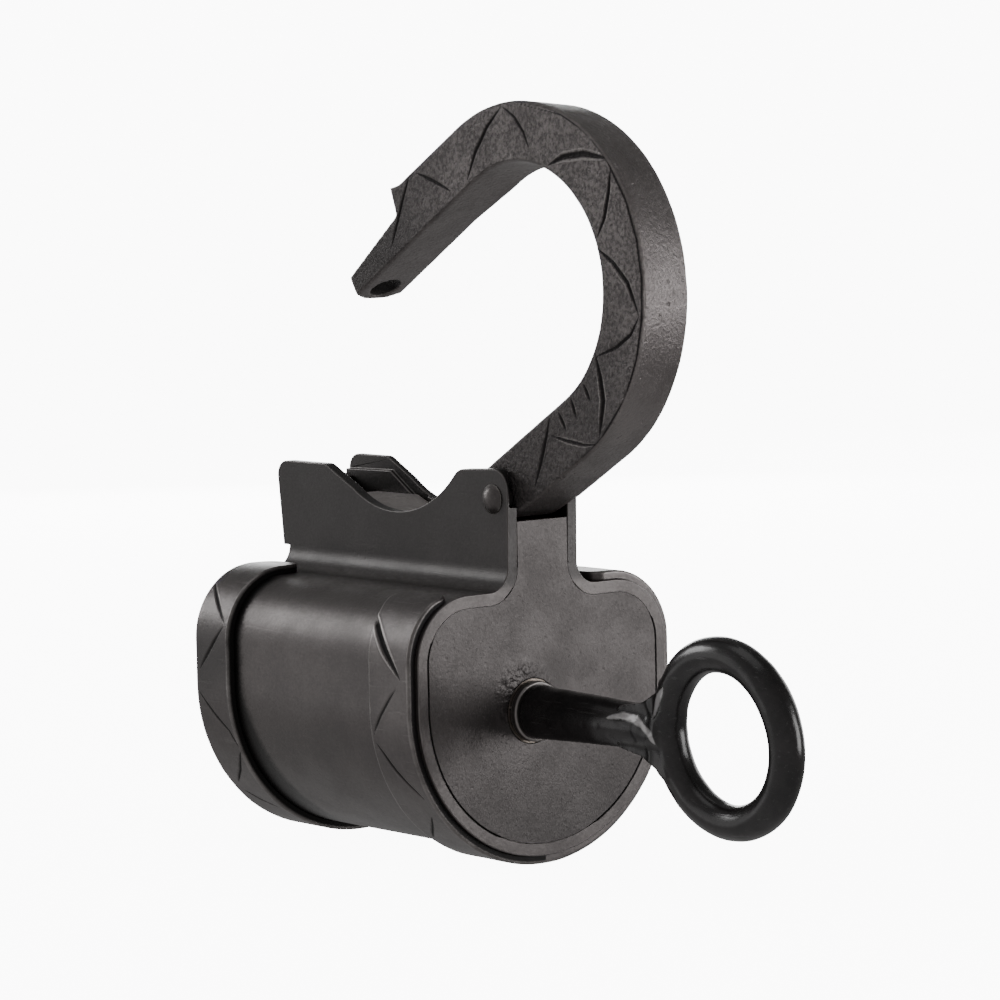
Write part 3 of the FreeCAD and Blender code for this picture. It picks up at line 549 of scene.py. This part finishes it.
def wrapped(name, cad_name, near_end, far_end, cuts, flare=0.0):
    """A strap round the barrel, from near_end to far_end (distances from the middle, along the top)."""
    low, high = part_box(cad_name)
    stand = 0.0019
    shell_r, top, shoulder = -low.z - stand, high.z - stand, 0.0125
    straight = shell_r - shoulder
    pitch = 0.0003

    def side(reach):
        # Each row is (base y, base z, normal y, normal z).
        rows = []
        start = math.radians(90)
        if reach < straight:
            n = max(2, round((straight - reach) / pitch))
            rows += [(reach + (straight - reach) * k / n, top, 0.0, 1.0) for k in range(n)]
        else:
            start = math.acos((reach - straight) / (shoulder + stand))
        n = round(start * (shoulder + stand) / pitch)
        for k in range(n):
            a = start * (1 - k / n)
            rows.append((straight + shoulder * math.cos(a), top - shoulder + shoulder * math.sin(a),
                         math.cos(a), math.sin(a)))
        n = max(2, round((top - shoulder) / pitch))
        rows += [(shell_r, (top - shoulder) * (1 - k / n), 1.0, 0.0) for k in range(n)]
        n = round(math.pi / 2 * (shell_r + stand) / pitch)
        for k in range(n + 1):
            a = -math.pi / 2 * k / n
            rows.append((shell_r * math.cos(a), shell_r * math.sin(a), math.cos(a), math.sin(a)))
        return rows

    near = [(-y, z, -ny, nz) for y, z, ny, nz in side(near_end)]
    rows = np.array(near + side(far_end)[-2::-1])
    outer = rows[:, :2] + rows[:, 2:] * stand
    run = np.concatenate([[0], np.cumsum(np.linalg.norm(np.diff(outer, axis=0), axis=1))])
    to_near, to_far = run, run[-1] - run
    corner = 0.0032

    def pulled(d):
        return corner - np.sqrt(np.clip(corner ** 2 - np.clip(corner - d, 0, corner) ** 2, 0, None))

    draw_in = np.maximum(pulled(to_near), pulled(to_far))
    flare_reach, thinned, thinned_reach = 0.008, 0.0009, 0.0035
    x_low = low.x + draw_in - flare * np.exp(-(to_near / flare_reach) ** 2)
    x_high = high.x - draw_in
    thick = stand - 0.0001 - thinned * np.exp(-(to_near / thinned_reach) ** 2) * (1 if flare else 0)
    round_r, off_barrel, cells = 0.00045, 0.00012, 48

    # The section goes round by the outside, front edge, inside and rear edge. Each point is
    # (share of width, offset from an edge, share of thickness, lift).
    ring = []
    for k in range(cells + 1):
        s = k / cells
        ring.append((s, round_r * (1 - 2 * s), 1.0, 0.0))
    for k in range(1, 5):
        a = math.radians(90 - 22.5 * k)
        ring.append((1.0, -round_r + round_r * math.cos(a), 1.0, round_r * (math.sin(a) - 1)))
    ring.append((1.0, 0.0, 0.5, 0.0))
    ring += [(share, 0.0, 0.0, off_barrel) for share in (1.0, 0.66, 0.33, 0.0)]
    ring.append((0.0, 0.0, 0.5, 0.0))
    for k in range(4):
        a = math.radians(180 - 22.5 * k)
        ring.append((0.0, round_r + round_r * math.cos(a), 1.0, round_r * (math.sin(a) - 1)))
    ring = np.array(ring)
    count = len(ring)
    x = x_low[:, None] + (x_high - x_low)[:, None] * ring[:, 0] + ring[:, 1]
    lift = thick[:, None] * ring[:, 2] + ring[:, 3]
    yz = rows[:, None, :2] + rows[:, None, 2:] * lift[:, :, None]
    points = np.concatenate([x[:, :, None], yz], axis=2).reshape(-1, 3)
    outward = np.repeat(rows[:, None, 2:], count, 1)
    normals = np.concatenate([np.zeros((len(rows), count, 1)), outward], axis=2).reshape(-1, 3)
    outside = np.tile(ring[:, 2] > 0.9, len(rows))
    sink, inside = chisel_cuts(points, cuts)
    taken_off, blow_depth, full_burr = 0.00006, 0.00005, 0.00006
    hammered = hammering(points, (170.0, 1.0), (420.0, 0.5))
    lifted = outside * (sink - taken_off + blow_depth * np.clip(hammered, -1, 1))
    points = points + normals * lifted[:, None]
    across = np.tile(np.minimum(ring[:, 0], 1 - ring[:, 0]), len(rows)) * np.repeat(x_high - x_low, count)
    from_end = np.minimum(across, np.repeat(np.minimum(to_near, to_far), count))
    worn = np.clip(1.0 - from_end / 0.0004, 0, 0.5) * outside
    front_edge = np.tile((ring[:, 0] > 0.99) & (ring[:, 2] < 0.9), len(rows))
    faces = []
    for i in range(len(rows) - 1):
        for k in range(count):
            n = (k + 1) % count
            faces.append((i * count + k, (i + 1) * count + k, (i + 1) * count + n, i * count + n))
    faces.append(tuple(range(count)))
    faces.append(tuple(range((len(rows) - 1) * count, len(rows) * count))[::-1])
    mesh = bpy.data.meshes.new(name)
    mesh.from_pydata(points.tolist(), [], faces)
    faced_out(mesh)
    burred = np.clip(sink / full_burr, 0, 1)
    edge_dirt = np.where(points[:, 1] < 0, 0.8, 0.2) * front_edge
    marked(mesh, worn=np.maximum(worn, burred), hollow=np.maximum(inside, edge_dirt))
    for face in mesh.polygons:
        face.use_smooth = True
    mesh.set_sharp_from_angle(angle=math.radians(50))
    piece = bpy.data.objects.new(name, mesh)
    scene.collection.objects.link(piece)
    return piece


strap_iron = iron("strap_iron", (0.058, 0.052, 0.051), (0.080, 0.072, 0.070), (0.34, 0.32, 0.31), 0.65, 0.40,
                  0.0008, 0.15, 0.04, 0.0005, patch=0.013, wear=0.4)
front_cuts = [
    ([(54.5, -29.1, 18.2), (58.3, -31.5, 14.7), (61.5, -32.6, 11.3), (64.5, -32.9, 8.2), (66.4, -32.9, 5.9)],
     1.7, 0.75, 0.10),
    ([(65.6, -32.9, 4.8), (62.8, -32.9, 1.9), (60.1, -32.9, -1.4), (57.7, -32.6, -4.7), (57.2, -32.3, -6.3)],
     0.8, 0.30, 0.02),
    ([(57.2, -32.3, -6.3), (59.1, -31.8, -8.5), (61.7, -30.6, -12.1), (64.4, -29.3, -14.9),
      (67.2, -27.8, -17.6)], 0.9, 0.38, 0.03),
    ([(65.8, -25.6, -20.7), (63.2, -23.3, -23.2), (57.9, -19.0, -26.9)], 0.7, 0.25, 0.02)]
rear_cuts = [
    ([(0.2, -27.6, 19.6), (3.9, -30.0, 17.1), (7.4, -31.7, 14.3), (9.6, -32.4, 12.1)], 0.9, 0.38, 0.04),
    ([(9.6, -32.5, 11.9), (5.7, -32.9, 7.5), (1.0, -32.9, 2.0)], 0.9, 0.38, 0.03),
    ([(0.1, -32.9, -1.3), (2.8, -32.7, -3.9), (6.1, -32.1, -7.0), (9.1, -31.5, -9.6), (10.8, -30.1, -13.2)],
     0.8, 0.34, 0.03),
    ([(10.7, -30.0, -13.4), (7.1, -27.6, -17.9), (2.8, -25.1, -21.3)], 0.8, 0.34, 0.03),
    ([(2.4, -23.8, -22.7), (5.7, -21.5, -24.9), (9.6, -19.5, -26.5)], 0.7, 0.30, 0.02)]


def on_far_side(cuts):
    """The same cuts on the other side of the barrel."""
    return [([(x, -y, z) for x, y, z in path], *rest) for path, *rest in cuts]


straps = (("front_strap", "front_band", 0.0225, 0.0135, front_cuts, 0.0022),
          ("rear_strap", "rear_band", 0.0135, 0.0135, rear_cuts, 0.0))
for name, cad_name, near_end, far_end, cuts, flare in straps:
    strap = wrapped(name, cad_name, near_end, far_end, cuts + on_far_side(cuts), flare)
    if name == "rear_strap":
        # Painted shade round the rear strap, darkest a little above the barrel's middle.
        heights = np.array([v.co.z for v in strap.data.vertices])
        darkest_z, reach, share = 0.005, 0.009, 0.9
        marked(strap.data, smoke=share * np.exp(-((heights - darkest_z) / reach) ** 2))
    settle(strap, "case", cad_name, slot="dark_iron", material=strap_iron)

# ---- saddle plate -------------------------------------------------------------
# Thick plate between the cheeks, hollowed for the staple. Its front end is the stop
# that the heel's tail comes down on when the shackle is open.
# Its iron is painted about four times lighter than the case's: painted light on the top between the cheeks.
saddle_lit_iron = iron("saddle_lit_iron", (0.21, 0.194, 0.187), (0.28, 0.26, 0.253), (0.32, 0.30, 0.29), 0.6, 0.46,
                   0.0008, 0.2, 0.05, 0.0004, patch=0.009, wear=0.1)
saddle = eased("saddle", "saddle_plate", 0.00025)
settle(saddle, "case", "saddle_plate", slot="dark_iron", material=saddle_lit_iron)

# ---- bolt work ----------------------------------------------------------------
# Guide block, two rods, bush and spring collar are fixed in the barrel. The carriage
# with its nut, bolt and washer slides on the rods. Filed bright once, now brown with oil.
inner_iron = iron("inner_iron", (0.085, 0.070, 0.060), (0.18, 0.155, 0.135), (0.40, 0.37, 0.34), 0.8, 0.40,
                  0.0006, 0.3, 0.3, 0.0004, patch=0.008)
oiled_steel = iron("oiled_steel", (0.17, 0.165, 0.16), (0.34, 0.33, 0.32), (0.5, 0.49, 0.48), 0.95, 0.30,
                   0.0005, 0.15, 0.1, 0.0002, patch=0.006, scratch=0.5)
for cad_name, finish in (("bolt_guide", inner_iron), ("guide_rods", oiled_steel), ("key_bush", inner_iron),
                         ("spring_seat", inner_iron), ("bolt_carriage", inner_iron), ("bolt_nut", inner_iron),
                         ("locking_bolt", oiled_steel), ("bolt_washer", inner_iron)):
    for face_slot in nodes[cad_name].material_slots:
        face_slot.material = finish

# ---- return spring ------------------------------------------------------------
# Eight turns of 1.6 mm wire round the nut and bush. It sits between the carriage and
# the collar behind the front plate.
spring_low, spring_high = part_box("return_spring")
wire_r = 0.0008
coil_tree = bpy.data.node_groups.new("coiled wire", "GeometryNodeTree")
coil_tree.interface.new_socket("Geometry", in_out="INPUT", socket_type="NodeSocketGeometry")
for label, kind in (("Turns", "NodeSocketFloat"), ("Coil Radius", "NodeSocketFloat"),
                    ("Wire Radius", "NodeSocketFloat"), ("Length", "NodeSocketFloat"),
                    ("Start", "NodeSocketVector"), ("Steel", "NodeSocketMaterial")):
    coil_tree.interface.new_socket(label, in_out="INPUT", socket_type=kind)
coil_tree.interface.new_socket("Geometry", in_out="OUTPUT", socket_type="NodeSocketGeometry")
coil_in, coil_out = coil_tree.nodes.new("NodeGroupInput"), coil_tree.nodes.new("NodeGroupOutput")


def coil_step(kind, **links):
    """One node of the spring's tree, with its inputs linked by name."""
    node = coil_tree.nodes.new(kind)
    for label, source in links.items():
        coil_tree.links.new(source, node.inputs[label.replace("_", " ")])
    return node


spiral = coil_step("GeometryNodeCurveSpiral", Rotations=coil_in.outputs["Turns"],
                   Start_Radius=coil_in.outputs["Coil Radius"], End_Radius=coil_in.outputs["Coil Radius"],
                   Height=coil_in.outputs["Length"])
spiral.inputs["Resolution"].default_value = 48
section = coil_step("GeometryNodeCurvePrimitiveCircle", Radius=coil_in.outputs["Wire Radius"])
section.inputs["Resolution"].default_value = 16
drawn = coil_step("GeometryNodeCurveToMesh", Curve=spiral.outputs[0], Profile_Curve=section.outputs[0])
drawn.inputs["Fill Caps"].default_value = True
laid = coil_step("GeometryNodeTransform", Geometry=drawn.outputs[0], Translation=coil_in.outputs["Start"])
laid.inputs["Rotation"].default_value = (0.0, math.pi / 2, 0.0)
smooth = coil_step("GeometryNodeSetShadeSmooth", Geometry=laid.outputs[0])
real = coil_step("GeometryNodeRealizeInstances", Geometry=smooth.outputs[0])
steeled = coil_step("GeometryNodeSetMaterial", Geometry=real.outputs[0], Material=coil_in.outputs["Steel"])
coil_tree.links.new(steeled.outputs[0], coil_out.inputs[0])

spring_steel = iron("spring_steel", (0.12, 0.118, 0.115), (0.26, 0.255, 0.25), (0.5, 0.5, 0.5), 0.95, 0.30,
                    0.0004, 0.12, 0.1, 0.00015, patch=0.005)
spring = bpy.data.objects.new("spring", bpy.data.meshes.new("spring"))
scene.collection.objects.link(spring)
winding = spring.modifiers.new("winding", "NODES")
winding.node_group = coil_tree
spring_mid = (spring_low + spring_high) / 2
seat_x, carriage_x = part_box("spring_seat")[0].x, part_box("bolt_carriage")[1].x
coil_r, end_gap = (spring_high.y - spring_low.y) / 2 - wire_r, 0.00005
coil_values = {"Turns": 8.0, "Coil Radius": coil_r, "Wire Radius": wire_r,
               "Length": seat_x - carriage_x - 2 * wire_r - 2 * end_gap,
               "Start": (carriage_x + wire_r + end_gap, spring_mid.y, spring_mid.z), "Steel": spring_steel}
for item in coil_tree.interface.items_tree:
    if item.in_out == "INPUT" and item.name in coil_values:
        winding[item.identifier] = coil_values[item.name]
made_plain(spring)
faced_out(spring.data)
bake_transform(spring)
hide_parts("return_spring")

# ---- shackle ------------------------------------------------------------------
# Forged bar, bent so that the far side of the bow sits lower. Each flat carries a
# zigzag of chisel cuts, a border line and three plain tally cuts.


def fused(piece, cell):
    """Remakes a piece in small even cells, which softens its edges as use has done."""
    grid = piece.modifiers.new("grid", "REMESH")
    grid.mode, grid.voxel_size, grid.use_smooth_shade = "VOXEL", cell, True
    return made_plain(piece)


def vertex_table(mesh):
    """Points, normals and edges of a mesh as arrays."""
    points = np.zeros(len(mesh.vertices) * 3)
    mesh.vertices.foreach_get("co", points)
    edges = np.zeros(len(mesh.edges) * 2, np.int64)
    mesh.edges.foreach_get("vertices", edges)
    normals = np.array([v.vector[:] for v in mesh.vertex_normals])
    return points.reshape(-1, 3), normals, edges.reshape(-1, 2)


def averaged(values, edges, rounds):
    """Values smoothed over neighbouring points."""
    degree = np.bincount(edges.ravel(), minlength=len(values)).astype(float)
    for _ in range(rounds):
        total = np.zeros_like(values)
        np.add.at(total, edges[:, 0], values[edges[:, 1]])
        np.add.at(total, edges[:, 1], values[edges[:, 0]])
        share = total / (degree[:, None] if values.ndim == 2 else degree)
        values = 0.5 * values + 0.5 * share
    return values


def rubbing(points, normals, edges, cell):
    """Where a surface stands proud (rubbed) and where it is hollow (dirty), each 0 to 1."""
    bend = np.einsum("ij,ij->i", points - averaged(points, edges, 3), normals) / cell
    bend = averaged(bend, edges, 1)
    return np.clip(bend * 5.0, 0, 1), np.clip(-bend * 6.0, 0, 1)


def close_to(across, up, reach, fade):
    """1 round a spot, fading to 0 at its reach over the length of the fade."""
    return np.clip((reach - np.hypot(across, up)) / fade, 0, 1)


bow_cuts = [
    ([(38.5, 100.4), (36.0, 95.2), (32.9, 87.7), (32.1, 85.9)], 0.9, 0.40, 0.0),
    ([(40.6, 100.6), (45.8, 99.0), (51.2, 97.0)], 1.0, 0.42, 0.0),
    ([(66.7, 112.8), (62.4, 109.1), (58.6, 104.1), (56.3, 99.1)], 1.1, 0.45, 0.0),
    ([(67.5, 112.8), (70.7, 110.9), (73.2, 108.1), (74.9, 104.8)], 0.9, 0.40, 0.0),
    ([(80.5, 101.8), (84.7, 103.3), (90.5, 103.8), (97.2, 102.9)], 1.5, 0.60, 0.06),
    ([(98.1, 101.0), (97.4, 96.7), (96.0, 91.8), (94.0, 88.3)], 1.1, 0.48, 0.03),
    ([(93.8, 86.4), (98.3, 83.7), (102.3, 80.0), (105.3, 74.1)], 1.2, 0.50, 0.03),
    ([(105.3, 73.8), (102.9, 70.5), (98.7, 68.0), (93.4, 66.3)], 1.0, 0.45, 0.0),
    ([(92.9, 66.9), (94.2, 62.4), (94.9, 58.1), (93.7, 51.2)], 1.4, 0.55, 0.03),
    ([(92.8, 49.8), (89.0, 49.6), (84.0, 50.2), (79.7, 51.0)], 0.8, 0.35, 0.04),
    ([(79.4, 54.2), (78.4, 50.8), (76.6, 45.7), (74.7, 40.9)], 1.1, 0.45, 0.0)]
tally_paths = ([(82.0, 55.5), (84.2, 52.0)], [(85.7, 58.1), (87.2, 54.4)], [(89.4, 61.0), (91.3, 57.7)])
tally_cuts = [(path, 0.9, 0.42, 0.03) for path in tally_paths]
border_cut = [([(72.6, 113.3), (84.2, 111.1), (92.6, 107.2), (97.0, 102.6), (102.1, 95.2), (105.0, 87.9),
                (106.2, 80.6), (106.0, 73.3), (104.4, 65.9), (100.9, 58.5), (93.9, 50.8), (86.6, 45.4),
                (79.3, 40.7)], 0.55, 0.16, 0.0)]
flat_cuts = bow_cuts + tally_cuts + border_cut
cell = 0.00038
bow = joined_copy("bow", "shackle")
fused(bow, cell)
work = bmesh.new()
work.from_mesh(bow.data)
centres = np.array([(f.calc_center_median().x, f.calc_center_median().z) for f in work.faces])
flat_side = np.array([abs(f.normal.y) > 0.9 for f in work.faces])
widened = [(path, width * 2.6, depth, 0) for path, width, depth, _ in flat_cuts]
near_cut = (chisel_cuts(centres, widened)[1] > 0) & flat_side
work.faces.ensure_lookup_table()
fine = {e for k in np.nonzero(near_cut)[0] for e in work.faces[k].edges}
bmesh.ops.subdivide_edges(work, edges=list(fine), cuts=1, use_grid_fill=True)
work.to_mesh(bow.data)
work.free()
points, normals, edges = vertex_table(bow.data)
points = averaged(points, edges, 2)
flank = np.clip((np.abs(normals[:, 1]) - 0.75) / 0.2, 0, 1)
worn, hollow = rubbing(points, normals, edges, cell)
sink, inside = chisel_cuts(points[:, [0, 2]], flat_cuts)
low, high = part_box("shackle")
# The inside of the bolt's hole through the tongue is painted black as shade.
pin_mid = (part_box("hinge_pin")[0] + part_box("hinge_pin")[1]) / 2
bolt_z = ((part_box("locking_bolt")[0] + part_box("locking_bolt")[1]) / 2).z
swing = math.radians(-59.0)
from_pin_x, from_pin_z = points[:, 0] - pin_mid.x, points[:, 2] - pin_mid.z
closed_x = pin_mid.x + from_pin_x * math.cos(swing) + from_pin_z * math.sin(swing)
closed_z = pin_mid.z - from_pin_x * math.sin(swing) + from_pin_z * math.cos(swing)
hole_r, hole_end_x = 0.0033, 0.0115
hole_shade = ((np.hypot(points[:, 1], closed_z - bolt_z) < hole_r) & (closed_x < hole_end_x)).astype(float)
# Both ends of the bar, the heel between the cheeks and the tongue, are painted darker as shade.
tongue_x, tongue_z = 0.004, 0.018
smoke = 0.75 * close_to(from_pin_x, from_pin_z, 0.056, 0.022)
smoke += 1.2 * close_to(closed_x - tongue_x, closed_z - tongue_z, 0.042, 0.030)
taken_off, dent_depth, full_burr = 0.00006, 0.00007, 0.00003
dents = hammering(points, (130.0, 0.6), (330.0, 0.4))
points = points + normals * (sink * flank - taken_off + dent_depth * np.clip(dents, -1, 1))[:, None]
points = np.clip(points, np.array(low), np.array(high))
bow.data.vertices.foreach_set("co", points.ravel())
burred = np.clip(sink / full_burr, 0, 1) * flank * 0.8
dirt_and_hole_shade = np.maximum(np.maximum(hollow, inside * flank), hole_shade)
marked(bow.data, worn=np.maximum(worn, burred), hollow=dirt_and_hole_shade, flank=flank, smoke=np.clip(smoke, 0, 1) * flank)
bow.data.update()
shackle_iron = iron("shackle_iron", (0.100, 0.089, 0.087), (0.148, 0.133, 0.130), (0.30, 0.28, 0.27), 0.65,
                    0.41, 0.0007, 0.50, 0.14, 0.0010, patch=0.010, wear=0.45, polish=0.09)
settle(bow, "shackle", "shackle", slot="shackle_iron", material=shackle_iron)

# ---- hinge pin ----------------------------------------------------------------
# Rivet through both cheeks and the heel. Each end is hammered over to a low dome.
pin_iron = iron("pin_iron", (0.050, 0.045, 0.044), (0.080, 0.072, 0.070), (0.30, 0.28, 0.27), 0.7, 0.38,
                0.0009, 0.3, 0.2, 0.0005, patch=0.004)
rivet_cell = 0.00022
rivet = joined_copy("rivet", "hinge_pin")
fused(rivet, rivet_cell)
points, normals, edges = vertex_table(rivet.data)
low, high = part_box("hinge_pin")
worn, hollow = rubbing(points, normals, edges, rivet_cell)
head_y, head_fade, taken_off, facet_depth = 0.0088, 0.0006, 0.00007, 0.00008
heads = np.clip((np.abs(points[:, 1]) - head_y) / head_fade, 0, 1)
points = points + normals * (heads * (facet_depth * hammering(points, (700.0, 1.0)) - taken_off))[:, None]
rivet.data.vertices.foreach_set("co", np.clip(points, np.array(low), np.array(high)).ravel())
marked(rivet.data, worn=worn, hollow=hollow)
settle(rivet, "case", "hinge_pin", slot="worn_iron", material=pin_iron)

# ---- key washer ---------------------------------------------------------------
# Loose washer between the front plate and the key's shoulder.
thrust_washer = eased("thrust_washer", "key_washer", 0.0004)
settle(thrust_washer, "washer", "key_washer", slot="worn_iron", material=pin_iron)

# ---- key ----------------------------------------------------------------------
# Threaded tip, plain journal and tapered shank. The shank's end was split, spread and
# forge-welded round the finger ring, then filed and polished; it is blacker than the case.
key_cell = 0.00026
key = joined_copy("key", "key_shank", "key_ring")
fused(key, key_cell)
points, normals, edges = vertex_table(key.data)
shank_low, shank_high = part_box("key_shank")
ring_low, ring_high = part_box("key_ring")
weld_x, weld_reach = ring_low.x + 0.0015, 0.0045
weld = np.exp(-((points[:, 0] - weld_x) / weld_reach) ** 2)
relaxed = averaged(points, edges, 12)
points = points + (relaxed - points) * weld[:, None]
points = averaged(points, edges, 1)
key.data.vertices.foreach_set("co", points.ravel())
key.data.update()
points, normals, edges = vertex_table(key.data)
worn, hollow = rubbing(points, normals, edges, key_cell)
fitted_length, fade = 0.035, 0.002
outer = np.clip((points[:, 0] - shank_low.x - fitted_length) / fade, 0, 1)
taken_off, wave_depth, blow_depth = 0.00010, 0.00016, 0.0005
waves = hammering(points, (110.0, 0.7), (300.0, 0.3))
hammered = np.abs(hammering(points, (260.0, 1.0))) * weld
raised = outer * (wave_depth * np.clip(waves, -1, 1) - taken_off) - blow_depth * hammered
points = points + normals * raised[:, None]
low = np.minimum(np.array(shank_low), np.array(ring_low))
high = np.maximum(np.array(shank_high), np.array(ring_high))
# The horns of the weld were dressed with a file into shallow facets; their shine is painted highlight, bare
# metal along short streaks.
highlight_streaks = [([(95.5, -7.5, -1.0), (99.5, -7.0, 0.0), (103.5, -7.0, -0.5), (107.0, -7.5, -2.0)],
              3.0, 0.10, 0.0),
             ([(111.5, -7.0, 6.0), (109.5, -7.0, 3.5), (107.5, -7.0, -0.5)], 3.0, 0.10, 0.0),
             ([(104.5, -7.0, -1.0), (108.0, -7.5, -3.0), (108.5, -6.5, -6.0)], 2.4, 0.10, 0.0)]
sink, highlight_mask = chisel_cuts(points, highlight_streaks)
points = points + normals * sink[:, None]
key.data.vertices.foreach_set("co", np.clip(points, low, high).ravel())
# The wear mark also carries the painted highlights.
marked(key.data, worn=np.maximum(worn * 0.15, highlight_mask * 0.75), hollow=hollow)
key.data.update()
# Its bare colour is also that of the painted highlights on the weld.
black_iron = iron("black_iron", (0.008, 0.0072, 0.0074), (0.020, 0.018, 0.018), (0.34, 0.33, 0.33), 0.2, 0.24,
                  0.0014, 0.10, 0.05, 0.0004, patch=0.009, wear=0.8)
black_iron.node_tree.nodes["Principled BSDF"].inputs["Specular IOR Level"].default_value = 0.38
settle(key, "key", "key_shank", "key_ring", slot="black_iron", material=black_iron)
